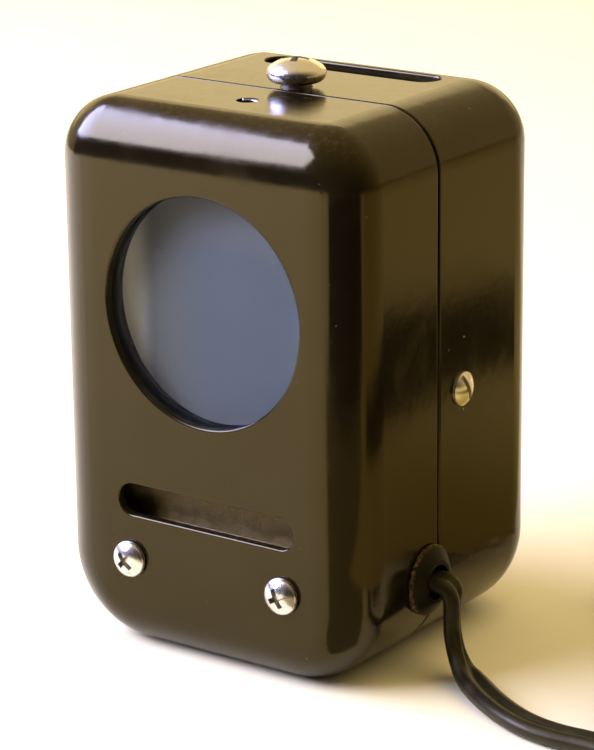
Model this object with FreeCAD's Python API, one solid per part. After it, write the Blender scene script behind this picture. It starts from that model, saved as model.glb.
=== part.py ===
import FreeCAD, Part
import math
import os

# A small upright lamp house with a round blue window. Millimetres, +Z up, +Y towards the back.
# The origin is under the middle of the body, on the surface that it stands on.

V = FreeCAD.Vector

# Lamp house
HEIGHT = 101.6
HALF_W = 33.5
DEPTH = 61.0
WALL = 1.6
R_TOP = 11.2
R_BOTTOM = 16.8
R_FRONT_EDGE = 7.5
R_BACK_EDGE = 10.7
HEAD_6 = 2.3                              # how far a small screw head stands out
FRONT_Y = -(DEPTH - HEAD_6) / 2
BACK_Y = FRONT_Y + DEPTH
PARTING_Y = FRONT_Y + 25.0
SEAM = 0.5
SEAM_ROUND = 0.4
RIM_ROUND = 0.4
INNER_Y = FRONT_Y + WALL
INNER_TOP = HEIGHT - WALL

# Running gaps
LOOSE = 0.3                               # between pieces that move apart
FIT = 0.05                                # round a screw or a turning piece

# Window
WINDOW_Z = 66.1
WINDOW_R = 21.0
GLASS_R = 21.8
GLASS_T = 6.35
HOLDER_T = 1.5
SNAP_R = 0.7

# Openings in the shells
SLOT_Z = 28.7
SLOT_L = 38.8
SLOT_W = 6.0
VENT_Y = FRONT_Y + 47.25
VENT_L = 37.8
VENT_W = 6.4

# Screws
FRONT_SCREW_X = 17.0
FRONT_SCREW_Z = 17.3
SIDE_SCREW_Y = FRONT_Y + 32.6
SIDE_SCREW_Z = 49.9
SIDE_HEAD_R = 3.1
SIDE_HEAD_H = 1.6
SHANK_6 = 1.7
HEAD_6_R = 3.45
NUT_6_FLATS = 7.9
NUT_6_T = 2.8
TOP_SCREW_X = 0.5
TOP_SCREW_Y = FRONT_Y + 29.1
SHANK_TOP = 2.74
SHANK_TOP_L = 9.35
HEAD_TOP_R = 5.4
HEAD_TOP_H = 4.45
HEAD_TOP_PROUD = 0.95
CLIP_R = 4.1
CLIP_T = 0.8
CLINCH_R = 4.1
CLINCH_H = 3.2

# Small tapped hole on top
TAPPED_Y = FRONT_Y + 15.0
TAPPED_R = 2.05
TAPPED_NUT_H = 3.2

# Joint band inside the seam
BAND_T = 1.0
BAND_FRONT = 4.8
BAND_BACK = 11.4

# Lamp socket and bulb
BULB_Y = FRONT_Y + 31.0
BRACKET_T = 1.2
BRACKET_HALF_W = 23.0
RISER_Y = FRONT_Y + 6.6
SHELF_Z = 35.8
SHELF_BACK_Y = FRONT_Y + 50.0
SOCKET_R = 12.0
SOCKET_LOW = 19.0
SOCKET_FLOOR = 24.2
EAR_X = 17.5
EAR_T = 2.2
CAP_R = 8.4
CAP_PITCH = 2.82
BULB_LOW = 26.0
BULB_R = 17.5
BULB_TOP = 86.0
BULB_GLASS_T = 0.9
TERMINAL_X = 8.0
EYE_R = 2.0
EYE_Z = 18.35
BARE_R = 0.45

# Cord, grommet and plug
CORD_R = 2.9
GROMMET_Y = FRONT_Y + 21.5
GROMMET_Z = 17.0
GROMMET_R = 6.5
GROMMET_NECK = 3.6
GROMMET_BORE = 3.2
GROMMET_OUT = 2.3
LEAD_R = 1.1
COIL_X = 110.0
COIL_Y = 5.0
COIL_IN = 20.4
COIL_OUT = 38.6
COIL_H = 12.8
PLUG_Y = 45.5
PLUG_LOW_X = 60.0
PLUG_L = 24.5
PLUG_W = 22.0
PLUG_H = 14.0
BOOT_L = 8.0
BLADE_L = 15.5
BLADE_GAP = 12.7

CORD_RUN = [
    (24.9, -7.85, 17.0), (32.3, -7.86, 17.02), (39.3, -7.9, 16.8), (39.7, -8.0, 9.4),
    (41.8, -9.3, 5.0), (46.0, -12.5, 3.0), (53.6, -18.2, 2.95), (61.9, -22.4, 3.0),
    (69.6, -24.0, 2.95), (78.6, -24.4, 3.0), (90.5, -27.0, 2.95),
]
CORD_TAIL = [
    (114.0, 41.6, 8.9), (106.5, 42.6, 8.8), (98.5, 44.6, 7.7), (91.5, 45.5, 7.0),
]
LEAD_RIGHT = [
    (24.9, -9.1, 17.0), (20.5, -9.6, 16.7), (16.4, -7.2, 15.4), (14.4, -2.8, 15.8),
    (13.6, 0.4, 17.5),
]
LEAD_LEFT = [
    (24.9, -6.6, 17.0), (19.8, -6.6, 13.4), (10.0, -10.4, 11.4), (-3.0, -11.6, 11.0),
    (-12.4, -8.0, 12.2), (-15.0, -2.6, 14.8), (-13.6, 0.4, 17.5),
]


# Shapes used more than once

def cylinder(base, axis, radius, length):
    return Part.makeCylinder(radius, length, V(*base), V(*axis))


def block(low, high):
    size = V(*high) - V(*low)
    return Part.makeBox(size.x, size.y, size.z, V(*low))


def outline(inset, y):
    """The lamp house's upright outline as a face at y, moved inwards by inset."""
    half = HALF_W - inset
    low = inset
    high = HEIGHT - inset
    r_top = R_TOP - inset
    r_low = R_BOTTOM - inset
    corners = [(half, low, r_low, -45), (half, high, r_top, 45),
               (-half, high, r_top, 135), (-half, low, r_low, 225)]
    arcs = []
    for x, z, r, middle in corners:
        cx = x - math.copysign(r, x)
        cz = z + r if z == low else z - r
        points = [V(cx + r * math.cos(math.radians(a)), y, cz + r * math.sin(math.radians(a)))
                  for a in (middle - 45, middle, middle + 45)]
        arcs.append(points)
    edges = []
    for here, after in zip(arcs, arcs[1:] + arcs[:1]):
        edges.append(Part.Arc(*here).toShape())
        edges.append(Part.LineSegment(here[2], after[0]).toShape())
    return Part.Face(Part.Wire(edges))


def edges_at_y(shape, y):
    return [e for e in shape.Edges
            if abs(e.BoundBox.YMin - y) < 1e-4 and abs(e.BoundBox.YMax - y) < 1e-4]


def house(inset):
    """The whole lamp house as one solid with round edges, moved inwards by inset."""
    front = FRONT_Y + inset
    back = BACK_Y - inset
    solid = outline(inset, front).extrude(V(0, back - front, 0))
    solid = solid.makeFillet(R_FRONT_EDGE - inset, edges_at_y(solid, front))
    return solid.makeFillet(R_BACK_EDGE - inset, edges_at_y(solid, back))


def slab(y_low, y_high):
    """A block wide and tall enough to hold the lamp house between two places along Y."""
    reach = 2 * HEIGHT
    return block((-reach, y_low, -reach), (reach, y_high, reach))


def ring_slice(outer_inset, inner_inset, y_low, y_high):
    length = V(0, y_high - y_low, 0)
    outer = outline(outer_inset, y_low).extrude(length)
    return outer.cut(outline(inner_inset, y_low).extrude(length))


def pill(length, width, thickness, centre, along_z):
    """A long round-ended block: its length lies along X, and its thickness along Y or Z."""
    x = length / 2 - width / 2
    r = width / 2
    axis = V(0, 0, 1) if along_z else V(0, 1, 0)
    side = V(0, 1, 0) if along_z else V(0, 0, 1)
    c = V(*centre) - axis * (thickness / 2)
    a, b = c + V(x, 0, 0), c - V(x, 0, 0)
    tip_a, tip_b = a + V(r, 0, 0), b - V(r, 0, 0)
    edges = [
        Part.LineSegment(b - side * r, a - side * r).toShape(),
        Part.Arc(a - side * r, tip_a, a + side * r).toShape(),
        Part.LineSegment(a + side * r, b + side * r).toShape(),
        Part.Arc(b + side * r, tip_b, b - side * r).toShape(),
    ]
    return Part.Face(Part.Wire(edges)).extrude(axis * thickness)


def hexagon(base, axis, flats, thickness, bore):
    """A plain hexagon nut with its bore."""
    corner = flats / math.sqrt(3)
    flat = Part.makePolygon([V(corner * math.cos(math.radians(a)), corner * math.sin(math.radians(a)), 0)
                             for a in range(30, 391, 60)])
    nut = Part.Face(flat).extrude(V(0, 0, thickness))
    nut = nut.cut(Part.makeCylinder(bore, thickness))
    return placed(nut, base, axis)


def placed(shape, base, axis):
    """The shape with its own +Z turned to axis and its origin moved to base."""
    turn = FreeCAD.Rotation(V(0, 0, 1), V(*axis))
    shape = shape.copy()
    shape.Placement = FreeCAD.Placement(V(*base), turn).multiply(shape.Placement)
    return shape


def turned(profile):
    """A solid of revolution about its own Z from (radius, z) points or (radius, z, 'arc') midpoints."""
    edges = []
    start = profile[0]
    pending = None
    for point in profile[1:] + profile[:1]:
        here = V(point[0], 0, point[1])
        if len(point) == 3:
            pending = here
            continue
        before = V(start[0], 0, start[1])
        if pending is not None:
            edges.append(Part.Arc(before, pending, here).toShape())
        elif (here - before).Length > 1e-6:
            edges.append(Part.LineSegment(before, here).toShape())
        start = point
        pending = None
    return Part.Face(Part.Wire(edges)).revolve(V(0, 0, 0), V(0, 0, 1), 360)


def dome(radius, base, height):
    """Profile points of a round cap on the axis, from its edge at base up to its top."""
    ball = (radius ** 2 + height ** 2) / (2 * height)
    half = math.asin(radius / ball) / 2
    middle = base + height - ball + ball * math.cos(half)
    return [(radius, base), (ball * math.sin(half), middle, "arc"), (0, base + height)]


def cross_recess(width, arm, depth, z_top, angle):
    """A tapered cross-shaped recess in a screw head whose top is at z_top."""
    cutter = Part.makeCone(arm * 0.28, arm * 0.62, depth, V(0, 0, z_top - depth))
    for extra in (0, 90):
        wing = block((-width, -arm / 2, 0), (width, arm / 2, depth + 1))
        wing.rotate(V(0, 0, 0), V(0, 0, 1), angle + extra)
        wing.translate(V(0, 0, z_top - depth))
        cutter = cutter.fuse(wing)
    return cutter


def arc_route(points, name):
    """A wire of straight runs joined by tangent arcs, each as large as its two runs allow."""
    points = [V(*p) for p in points]
    edges = []
    start = points[0]
    radii = []
    for before, here, after in zip(points, points[1:], points[2:]):
        into, out = here - before, after - here
        half_turn = into.getAngle(out) / 2
        cut = 0.45 * min(into.Length, out.Length)
        radii.append(cut / math.tan(half_turn))
        unit_in, unit_out = V(into).normalize(), V(out).normalize()
        first, last = here - unit_in * cut, here + unit_out * cut
        centre_way = (unit_out - unit_in).normalize()
        to_centre = radii[-1] / math.cos(half_turn)
        middle = here + centre_way * (to_centre - radii[-1])
        edges.append(Part.LineSegment(start, first).toShape())
        edges.append(Part.Arc(first, middle, last).toShape())
        start = last
    edges.append(Part.LineSegment(start, points[-1]).toShape())
    wire = Part.Wire(edges)
    print(name, "length %.1f" % wire.Length, "radii", [round(r, 1) for r in radii])
    return wire


def tube(points, radius, name):
    """A round cord along a route, with its volume compared with its section times its length."""
    wire = arc_route(points, name)
    direction = V(*points[1]) - V(*points[0])
    section = Part.Wire(Part.makeCircle(radius, V(*points[0]), direction))
    solid = wire.makePipeShell([section], True, False)
    print(name, "volume ratio %.4f" % (solid.Volume / (math.pi * radius ** 2 * wire.Length)))
    return solid


# Shells

def front_shell():
    shell = house(0).common(slab(FRONT_Y - 1, PARTING_Y - SEAM / 2))
    shell = shell.makeFillet(SEAM_ROUND, edges_at_y(shell, PARTING_Y - SEAM / 2))
    shell = shell.cut(house(WALL))
    shell = shell.cut(cylinder((0, FRONT_Y - 1, WINDOW_Z), (0, 1, 0), WINDOW_R, WALL + 1.1))
    shell = shell.cut(pill(SLOT_L, SLOT_W, 4 * WALL, (0, FRONT_Y, SLOT_Z), False))
    rims = [e for e in edges_at_y(shell, FRONT_Y)
            if abs(e.BoundBox.Center.x) < 21 and e.BoundBox.XLength < 2 * WINDOW_R + 1
            and (e.BoundBox.ZMax < SLOT_Z + SLOT_W or e.BoundBox.ZMin > WINDOW_Z - WINDOW_R - 1)
            and e.BoundBox.ZMin > SLOT_Z - SLOT_W and e.BoundBox.ZMax < WINDOW_Z + WINDOW_R + 1]
    shell = shell.makeFillet(RIM_ROUND, rims)
    for x in (-FRONT_SCREW_X, FRONT_SCREW_X):
        shell = shell.cut(cylinder((x, FRONT_Y - 1, FRONT_SCREW_Z), (0, 1, 0), SHANK_6 + 0.2, 4))
    shell = shell.cut(cylinder((0, TAPPED_Y, INNER_TOP - 1), (0, 0, 1), TAPPED_R, 4))
    notch_r = GROMMET_NECK + FIT
    notch = cylinder((HALF_W - 4, GROMMET_Y, GROMMET_Z), (1, 0, 0), notch_r, 8)
    notch = notch.fuse(block((HALF_W - 4, GROMMET_Y, GROMMET_Z - notch_r),
                             (HALF_W + 4, PARTING_Y, GROMMET_Z + notch_r)))
    return shell.cut(notch)


def rear_shell():
    shell = house(0).common(slab(PARTING_Y + SEAM / 2, BACK_Y + 1))
    shell = shell.makeFillet(SEAM_ROUND, edges_at_y(shell, PARTING_Y + SEAM / 2))
    shell = shell.cut(house(WALL))
    shell = shell.cut(pill(VENT_L, VENT_W, 4 * WALL, (0, VENT_Y, HEIGHT), True))
    rims = [e for e in shell.Edges
            if e.BoundBox.ZMin > HEIGHT - 1e-4 and abs(e.BoundBox.Center.y - VENT_Y) < VENT_W
            and e.BoundBox.XLength < VENT_L and e.BoundBox.YLength < VENT_W + 1e-3]
    shell = shell.makeFillet(RIM_ROUND, rims)
    shell = shell.cut(cylinder((TOP_SCREW_X, TOP_SCREW_Y, INNER_TOP - 1), (0, 0, 1), SHANK_TOP + 0.2, 4))
    across = cylinder((-HALF_W - 1, SIDE_SCREW_Y, SIDE_SCREW_Z), (1, 0, 0), SHANK_6 + FIT, 2 * HALF_W + 2)
    return shell.cut(across)


def joint_band():
    """A strip fixed inside the front shell that steps into the rear shell, forked for the screws."""
    step = WALL + LOOSE
    band = ring_slice(WALL, WALL + BAND_T, PARTING_Y - BAND_FRONT, PARTING_Y)
    band = band.fuse(ring_slice(step, step + BAND_T, PARTING_Y - BAND_T, PARTING_Y + BAND_BACK))
    end = PARTING_Y + BAND_BACK + 1
    fork_r = SHANK_6 + LOOSE
    fork = cylinder((-HALF_W, SIDE_SCREW_Y, SIDE_SCREW_Z), (1, 0, 0), fork_r, 2 * HALF_W)
    fork = fork.fuse(block((-HALF_W, SIDE_SCREW_Y, SIDE_SCREW_Z - fork_r),
                           (HALF_W, end, SIDE_SCREW_Z + fork_r)))
    top_r = CLINCH_R + LOOSE
    top = cylinder((TOP_SCREW_X, TOP_SCREW_Y, INNER_TOP - 10), (0, 0, 1), top_r, 12)
    top = top.fuse(block((TOP_SCREW_X - top_r, TOP_SCREW_Y, INNER_TOP - 10),
                         (TOP_SCREW_X + top_r, end, INNER_TOP + 2)))
    gap = GROMMET_R + 1.0
    cord_way = block((HALF_W - 8, PARTING_Y - 2 * BAND_FRONT, GROMMET_Z - gap),
                     (HALF_W, end, GROMMET_Z + gap))
    return band.cut(fork).cut(top).cut(cord_way)


# Window

def blue_glass():
    chamfer = 0.5
    profile = [(0, 0), (GLASS_R - chamfer, 0), (GLASS_R, chamfer), (GLASS_R, GLASS_T - chamfer),
               (GLASS_R - chamfer, GLASS_T), (0, GLASS_T)]
    return placed(turned(profile), (0, INNER_Y, WINDOW_Z), (0, 1, 0))


def glass_holder():
    """A ring round the glass with a lip and a groove for the snap ring at its back."""
    inner = GLASS_R + FIT
    back = GLASS_T + 2 * SNAP_R + 0.8
    groove = inner + 0.45
    profile = [(inner, 0), (inner + HOLDER_T, 0), (inner + HOLDER_T, back), (inner, back),
               (inner, GLASS_T + 2 * SNAP_R + 0.05), (groove, GLASS_T + SNAP_R, "arc"), (inner, GLASS_T)]
    return placed(turned(profile), (0, INNER_Y, WINDOW_Z), (0, 1, 0))


def snap_ring():
    """An open ring of spring wire that holds the glass against the shell."""
    middle = GLASS_R + 0.35 - SNAP_R
    ring = Part.makeTorus(middle, SNAP_R - 0.02)
    gap = block((-3.5, -2 * GLASS_R, -2), (3.5, 0, 2))
    ring = ring.cut(gap)
    return placed(ring, (0, INNER_Y + GLASS_T + SNAP_R, WINDOW_Z), (0, 1, 0))


# Screws and nuts

def pan_head(radius, height, low):
    """A pan head standing on z = 0: a rounded lower edge of radius low, then two arcs that meet smoothly."""
    small = 0.30 * radius
    rise = height - low - small
    gap = ((radius - small) ** 2 + rise ** 2) / (2 * rise)
    large = gap + small
    meet = math.acos((radius - small) / gap)
    steep, shallow = meet / 2, (meet + math.pi / 2) / 2
    corner = low * math.sqrt(0.5)
    return [(0, 0), (radius - low, 0), (radius - low + corner, low - corner, "arc"), (radius, low),
            (radius - small + small * math.cos(steep), low + small * math.sin(steep), "arc"),
            (radius - small + small * math.cos(meet), low + small * math.sin(meet)),
            (large * math.cos(shallow), height - large + large * math.sin(shallow), "arc"), (0, height)]


def front_screw(x, angle):
    inside = WALL + BRACKET_T + NUT_6_T + 0.7
    screw = turned(pan_head(HEAD_6_R, HEAD_6, 0.5))
    screw = screw.cut(cross_recess(1.85, 1.0, 1.35, HEAD_6, angle))
    screw = screw.fuse(Part.makeCylinder(SHANK_6, inside, V(0, 0, 0), V(0, 0, -1)))
    return placed(screw, (x, FRONT_Y, FRONT_SCREW_Z), (0, -1, 0))


def bracket_nut(x):
    base = (x, INNER_Y + BRACKET_T, FRONT_SCREW_Z)
    return hexagon(base, (0, 1, 0), NUT_6_FLATS, NUT_6_T, SHANK_6 + FIT)


def side_screw(side, angle):
    """A slotted round-head screw through the rear shell and the fork of the joint band."""
    nut_face = WALL + LOOSE + BAND_T + LOOSE
    rim = 0.5
    screw = turned([(0, 0), (SIDE_HEAD_R, 0)] + dome(SIDE_HEAD_R, rim, SIDE_HEAD_H - rim))
    slot = block((-0.45, -2 * SIDE_HEAD_R, SIDE_HEAD_H - 0.95), (0.45, 2 * SIDE_HEAD_R, SIDE_HEAD_H + 1))
    slot.rotate(V(0, 0, 0), V(0, 0, 1), angle)
    screw = screw.cut(slot)
    screw = screw.fuse(Part.makeCylinder(SHANK_6, nut_face + NUT_6_T + 2.2, V(0, 0, 0), V(0, 0, -1)))
    return placed(screw, (side * (HALF_W + 0.02), SIDE_SCREW_Y, SIDE_SCREW_Z), (side, 0, 0))


def side_nut(side):
    face = HALF_W - WALL - LOOSE - BAND_T - LOOSE
    return hexagon((side * face, SIDE_SCREW_Y, SIDE_SCREW_Z), (-side, 0, 0),
                   NUT_6_FLATS, NUT_6_T, SHANK_6 + FIT)


def top_screw():
    screw = turned(pan_head(HEAD_TOP_R, HEAD_TOP_H, 1.6))
    screw = screw.cut(cross_recess(2.4, 1.2, 2.0, HEAD_TOP_H, 22))
    screw = screw.fuse(Part.makeCylinder(SHANK_TOP, SHANK_TOP_L, V(0, 0, 0), V(0, 0, -1)))
    return placed(screw, (TOP_SCREW_X, TOP_SCREW_Y, HEIGHT + HEAD_TOP_PROUD), (0, 0, 1))


def top_clip():
    """A spring clip near the end of the top screw that stops it from being lost."""
    low = HEIGHT + HEAD_TOP_PROUD - SHANK_TOP_L + 0.1
    ring = Part.makeCylinder(CLIP_R, CLIP_T).cut(Part.makeCylinder(SHANK_TOP + FIT, CLIP_T))
    ring = ring.cut(block((1.5, -0.6, -1), (CLIP_R + 1, 0.6, CLIP_T + 1)))
    return placed(ring, (TOP_SCREW_X, TOP_SCREW_Y, low), (0, 0, 1))


def top_nut():
    nut = Part.makeCylinder(CLINCH_R, CLINCH_H)
    nut = nut.makeChamfer(0.4, [e for e in nut.Edges if e.BoundBox.ZMax < 0.01])
    nut = nut.cut(Part.makeCylinder(SHANK_TOP + FIT, CLINCH_H))
    return placed(nut, (TOP_SCREW_X, TOP_SCREW_Y, INNER_TOP - CLINCH_H), (0, 0, 1))


def tapped_nut():
    base = (0, TAPPED_Y, INNER_TOP - TAPPED_NUT_H)
    return hexagon(base, (0, 0, 1), 8.7, TAPPED_NUT_H, TAPPED_R)


# Socket and its bracket

def socket_bracket():
    """One bent steel strip: a flange on the front wall, a riser behind the slot and a shelf."""
    t = BRACKET_T
    flange_low = 11.0
    flange_top = 23.4
    web_low = flange_top - t
    side = [(INNER_Y, flange_low), (INNER_Y + t, flange_low), (INNER_Y + t, web_low), (RISER_Y + t, web_low),
            (RISER_Y + t, SHELF_Z), (SHELF_BACK_Y, SHELF_Z), (SHELF_BACK_Y, SHELF_Z + t),
            (RISER_Y, SHELF_Z + t), (RISER_Y, flange_top), (INNER_Y, flange_top)]
    w = BRACKET_HALF_W
    face = Part.Face(Part.makePolygon([V(-w, y, z) for y, z in side + side[:1]]))
    strip = face.extrude(V(2 * w, 0, 0))
    outer = {(INNER_Y, flange_top), (RISER_Y, SHELF_Z + t), (RISER_Y + t, web_low)}
    for radius, chosen in ((1.5, True), (0.3, False)):
        some = [e for e in strip.Edges if e.BoundBox.XLength > w and e.BoundBox.ZMin > 20
                and e.BoundBox.YMax < SHELF_BACK_Y - 1
                and any(abs(e.BoundBox.YMin - y) < 0.01 and abs(e.BoundBox.ZMin - z) < 0.01
                        for y, z in outer) == chosen]
        strip = strip.makeFillet(radius, some)
    hole = cylinder((0, BULB_Y, SHELF_Z - 1), (0, 0, 1), SOCKET_R + 0.15, 4)
    strip = strip.cut(hole)
    for x in (-EAR_X, EAR_X):
        strip = strip.cut(cylinder((x, BULB_Y, SHELF_Z - 1), (0, 0, 1), 1.6, 4))
    for x in (-FRONT_SCREW_X, FRONT_SCREW_X):
        strip = strip.cut(cylinder((x, FRONT_Y, FRONT_SCREW_Z), (0, 1, 0), SHANK_6 + FIT, 6))
    for x in (-w, w):
        corner = block((x - 5, SHELF_BACK_Y - 5, SHELF_Z - 1), (x + 5, SHELF_BACK_Y + 5, SHELF_Z + 3))
        keep = cylinder((x - math.copysign(5, x), SHELF_BACK_Y - 5, SHELF_Z - 1), (0, 0, 1), 5, 4)
        strip = strip.cut(corner.cut(keep))
    return strip


def socket_body():
    """The insulating body: a cup through the shelf with a flange and two ears on top of it."""
    ear_low = SHELF_Z + BRACKET_T
    cup = cylinder((0, BULB_Y, SOCKET_LOW), (0, 0, 1), SOCKET_R, ear_low - SOCKET_LOW)
    cup = cup.makeChamfer(1.0, [e for e in cup.Edges if e.BoundBox.ZMax < SOCKET_LOW + 0.01])
    flange = cylinder((0, BULB_Y, ear_low), (0, 0, 1), SOCKET_R + 2.2, EAR_T)
    ears = pill(2 * EAR_X + 8, 8, EAR_T, (0, BULB_Y, ear_low + EAR_T / 2), True)
    body = cup.fuse(flange).fuse(ears).removeSplitter()
    body = body.cut(cylinder((0, BULB_Y, SOCKET_FLOOR), (0, 0, 1), 9.45, 40))
    for x in (-EAR_X, EAR_X):
        body = body.cut(cylinder((x, BULB_Y, ear_low - 1), (0, 0, 1), 1.6, 6))
    for x in (-TERMINAL_X, TERMINAL_X):
        body = body.cut(cylinder((x, BULB_Y, SOCKET_LOW - 1), (0, 0, 1), 1.35, 5))
    return body


def socket_shell():
    """The brass cup that the bulb screws into, open in the middle of its floor."""
    floor = SOCKET_FLOOR + 0.05
    profile = [(5.4, floor), (9.4, floor), (9.4, 38.7), (9.0, 38.7), (9.0, floor + 0.4), (5.4, floor + 0.4)]
    return placed(turned(profile), (0, BULB_Y, 0), (0, 0, 1))


def centre_contact():
    """A bent leaf of brass under the bulb's tip."""
    leaf = block((-2.0, BULB_Y - 4.6, SOCKET_FLOOR), (2.0, BULB_Y + 3.0, SOCKET_FLOOR + 0.5))
    bump = turned([(0, 0.2), (2.4, 0.2)] + dome(2.4, 0.5, 0.95))
    return leaf.fuse(placed(bump, (0, BULB_Y, SOCKET_FLOOR), (0, 0, 1)))


def socket_rivets():
    """Two round-headed rivets through the socket's ears and the shelf."""
    grip = BRACKET_T + EAR_T
    rivets = []
    for x in (-EAR_X, EAR_X):
        shank = [(0, 0), (1.55, 0), (1.55, grip)]
        upper = turned(shank + [(2.7, grip), (2.7, grip + 0.3)] + dome(2.7, grip + 0.3, 1.0)[1:])
        lower = placed(turned([(0, 0), (2.7, 0), (2.7, 0.2)] + dome(2.7, 0.2, 0.8)[1:]), (0, 0, 0), (0, 0, -1))
        rivets.append(placed(upper.fuse(lower), (x, BULB_Y, SHELF_Z), (0, 0, 1)))
    return Part.makeCompound(rivets)


def terminal_screws():
    screws = []
    for x in (-TERMINAL_X, TERMINAL_X):
        shank = cylinder((x, BULB_Y, 17.6), (0, 0, 1), 1.3, 5.0)
        head = placed(turned([(0, 0), (2.8, 0)] + dome(2.8, 0.8, 0.8)), (x, BULB_Y, 17.7), (0, 0, -1))
        slot = block((x - 0.4, BULB_Y - 4, 15), (x + 0.4, BULB_Y + 4, 16.8))
        screws.append(shank.fuse(head).cut(slot))
    return Part.makeCompound(screws)


# Bulb

def bulb_cap():
    """The screw cap: four rounded threads, drawn as rings, on a thin brass cup."""
    low = BULB_LOW + 3.2
    root = CAP_R - 0.5
    inside = root - 0.5
    profile = [(inside, low + 0.5), (5.8, low + 0.5), (5.8, low), (6.9, low), (root, low + 1.0)]
    z = low + 1.0
    for _ in range(4):
        profile += [(CAP_R, z + CAP_PITCH * 0.35, "arc"), (root, z + CAP_PITCH * 0.7), (root, z + CAP_PITCH)]
        z += CAP_PITCH
    profile += [(root, z + 1.0), (CAP_R, z + 1.2), (CAP_R, z + 3.2), (inside, z + 3.2)]
    return placed(turned(profile), (0, BULB_Y, 0), (0, 0, 1))


def bulb_insulator():
    low = BULB_LOW + 0.9
    profile = [(0, low), (2.6, low), (5.75, low + 2.25), (5.75, low + 2.9), (0, low + 2.9)]
    return placed(turned(profile), (0, BULB_Y, 0), (0, 0, 1))


def bulb_tip():
    profile = [(0, 0), (1.3, 0.05), (2.1, 0.35, "arc"), (2.3, 0.8), (0, 0.8)]
    return placed(turned(profile), (0, BULB_Y, BULB_LOW), (0, 0, 1))


def bulb_glass():
    """A thin tear-shaped envelope with a round top and an open neck."""
    z_mid = BULB_TOP - BULB_R

    def wall(r, neck):
        across = math.hypot(neck[0], z_mid - neck[1])
        lean = math.atan2(z_mid - neck[1], neck[0])
        reach = lean - math.acos(r / across)
        tangent = (r * math.cos(reach), z_mid - r * math.sin(reach))
        middle = (math.pi / 2 - reach) / 2
        return tangent, (r * math.cos(middle), z_mid + r * math.sin(middle), "arc"), (0, z_mid + r)

    inner_r = BULB_R - BULB_GLASS_T
    neck_z = 46.5
    out_low, out_mid, out_top = wall(BULB_R, (7.3, neck_z))
    in_low, in_mid, in_top = wall(inner_r, (7.3 - BULB_GLASS_T, neck_z))
    profile = [(7.3 - BULB_GLASS_T, 41.0), (7.3, 41.0), (7.3, neck_z), out_low, out_mid, out_top,
               in_top, in_mid, in_low, (7.3 - BULB_GLASS_T, neck_z)]
    return placed(turned(profile), (0, BULB_Y, 0), (0, 0, 1))


def bulb_stem():
    """The glass stem with its flare in the neck and the two wires that hold the filament."""
    profile = [(0, 42.0), (6.2, 42.0), (6.2, 42.8), (3.4, 44.8, "arc"), (2.2, 49.0), (2.2, 56.0), (0, 56.8)]
    stem = placed(turned(profile), (0, BULB_Y, 0), (0, 0, 1))
    for side in (-1, 1):
        foot = V(side * 1.2, BULB_Y, 55.0)
        way = V(side * 7.0, BULB_Y, 66.0) - foot
        stem = stem.fuse(Part.makeCylinder(0.3, way.Length, foot, way))
    return stem


def filament():
    wire = arc_route([(-6.6, BULB_Y, 66.4), (-3.4, BULB_Y, 67.6), (0, BULB_Y, 66.6), (3.4, BULB_Y, 67.6),
                      (6.6, BULB_Y, 66.4)], "filament")
    section = Part.Wire(Part.makeCircle(0.25, V(-6.6, BULB_Y, 66.4), V(3.2, 0, 1.2)))
    return wire.makePipeShell([section], True, False)


# Cord, grommet and plug

def grommet():
    """A rubber ring in the notch of the front shell, its flanges shaped to the walls."""
    gap = 0.2
    profile = [(0, -4), (GROMMET_R, -4), (GROMMET_R, 0.55), (5.6, 1.25, "arc"), (3.9, GROMMET_OUT),
               (0, GROMMET_OUT)]
    outer = placed(turned(profile), (HALF_W, GROMMET_Y, GROMMET_Z), (1, 0, 0)).cut(house(-gap))
    neck = cylinder((28.9, GROMMET_Y, GROMMET_Z), (1, 0, 0), GROMMET_NECK, 5.2)
    inner = cylinder((28.9, GROMMET_Y, GROMMET_Z), (1, 0, 0), 6.0, 5.0).common(house(WALL + LOOSE))
    body = outer.fuse(neck).fuse(inner)
    return body.cut(cylinder((20, GROMMET_Y, GROMMET_Z), (1, 0, 0), GROMMET_BORE, 30))


def strain_sleeve():
    """A crimped steel sleeve that stops the cord from being pulled out through the grommet."""
    ring = cylinder((24.9, GROMMET_Y, GROMMET_Z), (1, 0, 0), 4.1, 3.7)
    return ring.cut(tube(CORD_RUN[:3], CORD_R, "sleeve bore"))


def inner_lead(points, terminal_x, name):
    """An insulated lead with a bare end that hooks round its terminal screw."""
    eye = Part.makeTorus(EYE_R, BARE_R, V(terminal_x, BULB_Y, EYE_Z))
    way_in = V(*points[-1]) - V(*points[-2])
    start = V(*points[-1]) - way_in.normalize() * BARE_R
    end = V(terminal_x + math.copysign(EYE_R, terminal_x), BULB_Y, EYE_Z)
    bare = Part.makeCylinder(BARE_R, (end - start).Length, start, end - start)
    return tube(points, LEAD_R, name).fuse(bare).fuse(eye)


def cord_coil():
    ring = cylinder((COIL_X, COIL_Y, 0), (0, 0, 1), COIL_OUT, COIL_H)
    return ring.cut(cylinder((COIL_X, COIL_Y, -1), (0, 0, 1), COIL_IN, COIL_H + 2))


def plug_body():
    low = V(PLUG_LOW_X, PLUG_Y - PLUG_W / 2, 0)
    body = Part.makeBox(PLUG_L, PLUG_W, PLUG_H, low)
    body = body.makeFillet(5.0, [e for e in body.Edges if e.BoundBox.XLength > PLUG_L - 1])
    back = PLUG_LOW_X + PLUG_L
    return body.makeFillet(4.0, edges_at_x(body, back))


def edges_at_x(shape, x):
    return [e for e in shape.Edges
            if abs(e.BoundBox.XMin - x) < 1e-4 and abs(e.BoundBox.XMax - x) < 1e-4]


def plug_boot():
    """The tapered sleeve where the cord goes into the plug."""
    profile = [(0, 0), (5.0, 0), (3.7, BOOT_L), (0, BOOT_L)]
    return placed(turned(profile), (PLUG_LOW_X + PLUG_L, PLUG_Y, PLUG_H / 2), (1, 0, 0))


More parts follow.
